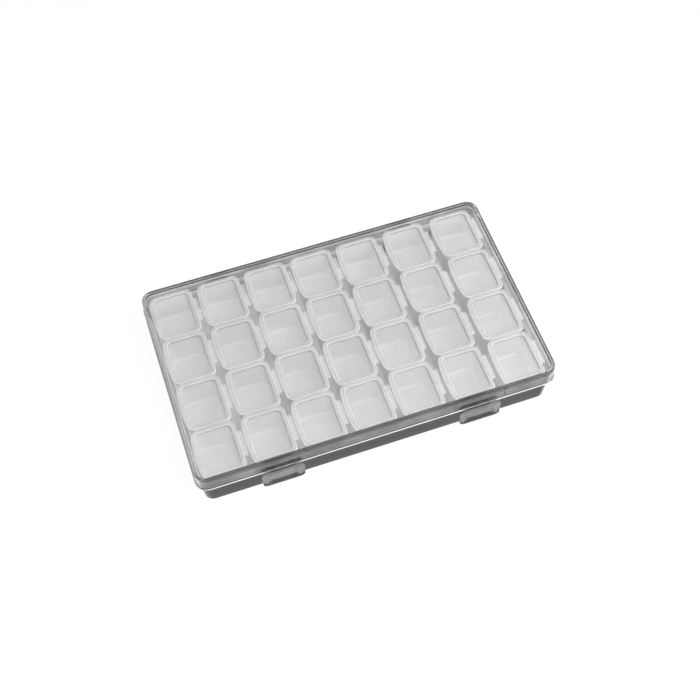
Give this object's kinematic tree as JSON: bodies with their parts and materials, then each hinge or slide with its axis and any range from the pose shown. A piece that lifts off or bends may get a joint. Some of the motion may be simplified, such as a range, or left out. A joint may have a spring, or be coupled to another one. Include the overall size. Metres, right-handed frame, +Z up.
{
  "type": "compartment storage box",
  "caption": "Clear hinged plastic storage case with front snap latches, holding lift-out strips of lidded rectangular cups for beads or small parts",
  "frame": {"origin": "On the table, under the middle of the closed case's outline, with its front latches and rear hinges.", "axes": "+X along the case's longer side, to the right as seen from the latches; +Y from the latches to the rear hinges; +Z up."},
  "size_m": [0.1748, 0.1132, 0.0255],
  "materials": {
    "clear_case": "clear polished polystyrene",
    "frosted_cup": "milky translucent polypropylene",
    "frosted_lid": "milky translucent polypropylene, thinner in the recessed panel"
  },
  "bodies": {
    "tray": {"base_tray": "clear_case"},
    "lid": {"case_lid": "clear_case"},
    "strip_1": {"strip_1": "frosted_cup"},
    "cell_lid_1_1": {"cell_lid_1_1": "frosted_lid"},
    "cell_lid_1_2": {"cell_lid_1_2": "frosted_lid"},
    "cell_lid_1_3": {"cell_lid_1_3": "frosted_lid"},
    "cell_lid_1_4": {"cell_lid_1_4": "frosted_lid"},
    "strip_2": {"strip_2": "frosted_cup"},
    "cell_lid_2_1": {"cell_lid_2_1": "frosted_lid"},
    "cell_lid_2_2": {"cell_lid_2_2": "frosted_lid"},
    "cell_lid_2_3": {"cell_lid_2_3": "frosted_lid"},
    "cell_lid_2_4": {"cell_lid_2_4": "frosted_lid"},
    "strip_3": {"strip_3": "frosted_cup"},
    "cell_lid_3_1": {"cell_lid_3_1": "frosted_lid"},
    "cell_lid_3_2": {"cell_lid_3_2": "frosted_lid"},
    "cell_lid_3_3": {"cell_lid_3_3": "frosted_lid"},
    "cell_lid_3_4": {"cell_lid_3_4": "frosted_lid"},
    "strip_4": {"strip_4": "frosted_cup"},
    "cell_lid_4_1": {"cell_lid_4_1": "frosted_lid"},
    "cell_lid_4_2": {"cell_lid_4_2": "frosted_lid"},
    "cell_lid_4_3": {"cell_lid_4_3": "frosted_lid"},
    "cell_lid_4_4": {"cell_lid_4_4": "frosted_lid"},
    "strip_5": {"strip_5": "frosted_cup"},
    "cell_lid_5_1": {"cell_lid_5_1": "frosted_lid"},
    "cell_lid_5_2": {"cell_lid_5_2": "frosted_lid"},
    "cell_lid_5_3": {"cell_lid_5_3": "frosted_lid"},
    "cell_lid_5_4": {"cell_lid_5_4": "frosted_lid"},
    "strip_6": {"strip_6": "frosted_cup"},
    "cell_lid_6_1": {"cell_lid_6_1": "frosted_lid"},
    "cell_lid_6_2": {"cell_lid_6_2": "frosted_lid"},
    "cell_lid_6_3": {"cell_lid_6_3": "frosted_lid"},
    "cell_lid_6_4": {"cell_lid_6_4": "frosted_lid"},
    "strip_7": {"strip_7": "frosted_cup"},
    "cell_lid_7_1": {"cell_lid_7_1": "frosted_lid"},
    "cell_lid_7_2": {"cell_lid_7_2": "frosted_lid"},
    "cell_lid_7_3": {"cell_lid_7_3": "frosted_lid"},
    "cell_lid_7_4": {"cell_lid_7_4": "frosted_lid"}
  },
  "joints": [
    {"name": "case_lid_hinge", "type": "hinge", "parent": "tray", "child": "lid", "pos_m": [0, 0.05443, 0.0152], "axis": [-1, 0, 0], "range_deg": [0, 180]},
    {"name": "strip_1_lift", "type": "slide", "parent": "tray", "child": "strip_1", "axis": [0, 0, 1], "range_m": [0, 0.022]},
    {"name": "cell_lid_1_1_flip", "type": "hinge", "parent": "strip_1", "child": "cell_lid_1_1", "pos_m": [-0.0612, -0.03972, 0.0211], "axis": [0, 1, 0], "range_deg": [0, 110]},
    {"name": "cell_lid_1_2_flip", "type": "hinge", "parent": "strip_1", "child": "cell_lid_1_2", "pos_m": [-0.0612, -0.01422, 0.0211], "axis": [0, 1, 0], "range_deg": [0, 110]},
    {"name": "cell_lid_1_3_flip", "type": "hinge", "parent": "strip_1", "child": "cell_lid_1_3", "pos_m": [-0.0612, 0.01128, 0.0211], "axis": [0, 1, 0], "range_deg": [0, 110]},
    {"name": "cell_lid_1_4_flip", "type": "hinge", "parent": "strip_1", "child": "cell_lid_1_4", "pos_m": [-0.0612, 0.03678, 0.0211], "axis": [0, 1, 0], "range_deg": [0, 110]},
    {"name": "strip_2_lift", "type": "slide", "parent": "tray", "child": "strip_2", "axis": [0, 0, 1], "range_m": [0, 0.022]},
    {"name": "cell_lid_2_1_flip", "type": "hinge", "parent": "strip_2", "child": "cell_lid_2_1", "pos_m": [-0.0374, -0.03972, 0.0211], "axis": [0, 1, 0], "range_deg": [0, 110]},
    {"name": "cell_lid_2_2_flip", "type": "hinge", "parent": "strip_2", "child": "cell_lid_2_2", "pos_m": [-0.0374, -0.01422, 0.0211], "axis": [0, 1, 0], "range_deg": [0, 110]},
    {"name": "cell_lid_2_3_flip", "type": "hinge", "parent": "strip_2", "child": "cell_lid_2_3", "pos_m": [-0.0374, 0.01128, 0.0211], "axis": [0, 1, 0], "range_deg": [0, 110]},
    {"name": "cell_lid_2_4_flip", "type": "hinge", "parent": "strip_2", "child": "cell_lid_2_4", "pos_m": [-0.0374, 0.03678, 0.0211], "axis": [0, 1, 0], "range_deg": [0, 110]},
    {"name": "strip_3_lift", "type": "slide", "parent": "tray", "child": "strip_3", "axis": [0, 0, 1], "range_m": [0, 0.022]},
    {"name": "cell_lid_3_1_flip", "type": "hinge", "parent": "strip_3", "child": "cell_lid_3_1", "pos_m": [-0.0136, -0.03972, 0.0211], "axis": [0, 1, 0], "range_deg": [0, 110]},
    {"name": "cell_lid_3_2_flip", "type": "hinge", "parent": "strip_3", "child": "cell_lid_3_2", "pos_m": [-0.0136, -0.01422, 0.0211], "axis": [0, 1, 0], "range_deg": [0, 110]},
    {"name": "cell_lid_3_3_flip", "type": "hinge", "parent": "strip_3", "child": "cell_lid_3_3", "pos_m": [-0.0136, 0.01128, 0.0211], "axis": [0, 1, 0], "range_deg": [0, 110]},
    {"name": "cell_lid_3_4_flip", "type": "hinge", "parent": "strip_3", "child": "cell_lid_3_4", "pos_m": [-0.0136, 0.03678, 0.0211], "axis": [0, 1, 0], "range_deg": [0, 110]},
    {"name": "strip_4_lift", "type": "slide", "parent": "tray", "child": "strip_4", "axis": [0, 0, 1], "range_m": [0, 0.022]},
    {"name": "cell_lid_4_1_flip", "type": "hinge", "parent": "strip_4", "child": "cell_lid_4_1", "pos_m": [0.0102, -0.03972, 0.0211], "axis": [0, 1, 0], "range_deg": [0, 110]},
    {"name": "cell_lid_4_2_flip", "type": "hinge", "parent": "strip_4", "child": "cell_lid_4_2", "pos_m": [0.0102, -0.01422, 0.0211], "axis": [0, 1, 0], "range_deg": [0, 110]},
    {"name": "cell_lid_4_3_flip", "type": "hinge", "parent": "strip_4", "child": "cell_lid_4_3", "pos_m": [0.0102, 0.01128, 0.0211], "axis": [0, 1, 0], "range_deg": [0, 110]},
    {"name": "cell_lid_4_4_flip", "type": "hinge", "parent": "strip_4", "child": "cell_lid_4_4", "pos_m": [0.0102, 0.03678, 0.0211], "axis": [0, 1, 0], "range_deg": [0, 110]},
    {"name": "strip_5_lift", "type": "slide", "parent": "tray", "child": "strip_5", "axis": [0, 0, 1], "range_m": [0, 0.022]},
    {"name": "cell_lid_5_1_flip", "type": "hinge", "parent": "strip_5", "child": "cell_lid_5_1", "pos_m": [0.03401, -0.03972, 0.0211], "axis": [0, 1, 0], "range_deg": [0, 110]},
    {"name": "cell_lid_5_2_flip", "type": "hinge", "parent": "strip_5", "child": "cell_lid_5_2", "pos_m": [0.03401, -0.01422, 0.0211], "axis": [0, 1, 0], "range_deg": [0, 110]},
    {"name": "cell_lid_5_3_flip", "type": "hinge", "parent": "strip_5", "child": "cell_lid_5_3", "pos_m": [0.03401, 0.01128, 0.0211], "axis": [0, 1, 0], "range_deg": [0, 110]},
    {"name": "cell_lid_5_4_flip", "type": "hinge", "parent": "strip_5", "child": "cell_lid_5_4", "pos_m": [0.03401, 0.03678, 0.0211], "axis": [0, 1, 0], "range_deg": [0, 110]},
    {"name": "strip_6_lift", "type": "slide", "parent": "tray", "child": "strip_6", "axis": [0, 0, 1], "range_m": [0, 0.022]},
    {"name": "cell_lid_6_1_flip", "type": "hinge", "parent": "strip_6", "child": "cell_lid_6_1", "pos_m": [0.0587, -0.03972, 0.0211], "axis": [0, 1, 0], "range_deg": [0, 110]},
    {"name": "cell_lid_6_2_flip", "type": "hinge", "parent": "strip_6", "child": "cell_lid_6_2", "pos_m": [0.0587, -0.01422, 0.0211], "axis": [0, 1, 0], "range_deg": [0, 110]},
    {"name": "cell_lid_6_3_flip", "type": "hinge", "parent": "strip_6", "child": "cell_lid_6_3", "pos_m": [0.0587, 0.01128, 0.0211], "axis": [0, 1, 0], "range_deg": [0, 110]},
    {"name": "cell_lid_6_4_flip", "type": "hinge", "parent": "strip_6", "child": "cell_lid_6_4", "pos_m": [0.0587, 0.03678, 0.0211], "axis": [0, 1, 0], "range_deg": [0, 110]},
    {"name": "strip_7_lift", "type": "slide", "parent": "tray", "child": "strip_7", "axis": [0, 0, 1], "range_m": [0, 0.022]},
    {"name": "cell_lid_7_1_flip", "type": "hinge", "parent": "strip_7", "child": "cell_lid_7_1", "pos_m": [0.08381, -0.03972, 0.0211], "axis": [0, 1, 0], "range_deg": [0, 110]},
    {"name": "cell_lid_7_2_flip", "type": "hinge", "parent": "strip_7", "child": "cell_lid_7_2", "pos_m": [0.08381, -0.01422, 0.0211], "axis": [0, 1, 0], "range_deg": [0, 110]},
    {"name": "cell_lid_7_3_flip", "type": "hinge", "parent": "strip_7", "child": "cell_lid_7_3", "pos_m": [0.08381, 0.01128, 0.0211], "axis": [0, 1, 0], "range_deg": [0, 110]},
    {"name": "cell_lid_7_4_flip", "type": "hinge", "parent": "strip_7", "child": "cell_lid_7_4", "pos_m": [0.08381, 0.03678, 0.0211], "axis": [0, 1, 0], "range_deg": [0, 110]}
  ],
  "couplings": [
    {"joint": "strip_1_lift", "follows": "case_lid_hinge", "m_per_rad": 0.0068},
    {"joint": "cell_lid_1_1_flip", "follows": "case_lid_hinge", "ratio": 0.61},
    {"joint": "cell_lid_1_2_flip", "follows": "case_lid_hinge", "ratio": 0.61},
    {"joint": "cell_lid_1_3_flip", "follows": "case_lid_hinge", "ratio": 0.61},
    {"joint": "cell_lid_1_4_flip", "follows": "case_lid_hinge", "ratio": 0.31},
    {"joint": "strip_2_lift", "follows": "case_lid_hinge", "m_per_rad": 0.0068},
    {"joint": "cell_lid_2_1_flip", "follows": "case_lid_hinge", "ratio": 0.61},
    {"joint": "cell_lid_2_2_flip", "follows": "case_lid_hinge", "ratio": 0.61},
    {"joint": "cell_lid_2_3_flip", "follows": "case_lid_hinge", "ratio": 0.61},
    {"joint": "cell_lid_2_4_flip", "follows": "case_lid_hinge", "ratio": 0.31},
    {"joint": "strip_3_lift", "follows": "case_lid_hinge", "m_per_rad": 0.0068},
    {"joint": "cell_lid_3_1_flip", "follows": "case_lid_hinge", "ratio": 0.61},
    {"joint": "cell_lid_3_2_flip", "follows": "case_lid_hinge", "ratio": 0.61},
    {"joint": "cell_lid_3_3_flip", "follows": "case_lid_hinge", "ratio": 0.61},
    {"joint": "cell_lid_3_4_flip", "follows": "case_lid_hinge", "ratio": 0.31},
    {"joint": "strip_4_lift", "follows": "case_lid_hinge", "m_per_rad": 0.0068},
    {"joint": "cell_lid_4_1_flip", "follows": "case_lid_hinge", "ratio": 0.61},
    {"joint": "cell_lid_4_2_flip", "follows": "case_lid_hinge", "ratio": 0.61},
    {"joint": "cell_lid_4_3_flip", "follows": "case_lid_hinge", "ratio": 0.61},
    {"joint": "cell_lid_4_4_flip", "follows": "case_lid_hinge", "ratio": 0.31},
    {"joint": "strip_5_lift", "follows": "case_lid_hinge", "m_per_rad": 0.0068},
    {"joint": "cell_lid_5_1_flip", "follows": "case_lid_hinge", "ratio": 0.61},
    {"joint": "cell_lid_5_2_flip", "follows": "case_lid_hinge", "ratio": 0.61},
    {"joint": "cell_lid_5_3_flip", "follows": "case_lid_hinge", "ratio": 0.61},
    {"joint": "cell_lid_5_4_flip", "follows": "case_lid_hinge", "ratio": 0.31},
    {"joint": "strip_6_lift", "follows": "case_lid_hinge", "m_per_rad": 0.0068},
    {"joint": "cell_lid_6_1_flip", "follows": "case_lid_hinge", "ratio": 0.61},
    {"joint": "cell_lid_6_2_flip", "follows": "case_lid_hinge", "ratio": 0.61},
    {"joint": "cell_lid_6_3_flip", "follows": "case_lid_hinge", "ratio": 0.61},
    {"joint": "cell_lid_6_4_flip", "follows": "case_lid_hinge", "ratio": 0.31},
    {"joint": "strip_7_lift", "follows": "case_lid_hinge", "m_per_rad": 0.0068},
    {"joint": "cell_lid_7_1_flip", "follows": "case_lid_hinge", "ratio": 0.61},
    {"joint": "cell_lid_7_2_flip", "follows": "case_lid_hinge", "ratio": 0.61},
    {"joint": "cell_lid_7_3_flip", "follows": "case_lid_hinge", "ratio": 0.61},
    {"joint": "cell_lid_7_4_flip", "follows": "case_lid_hinge", "ratio": 0.31}
  ]
}
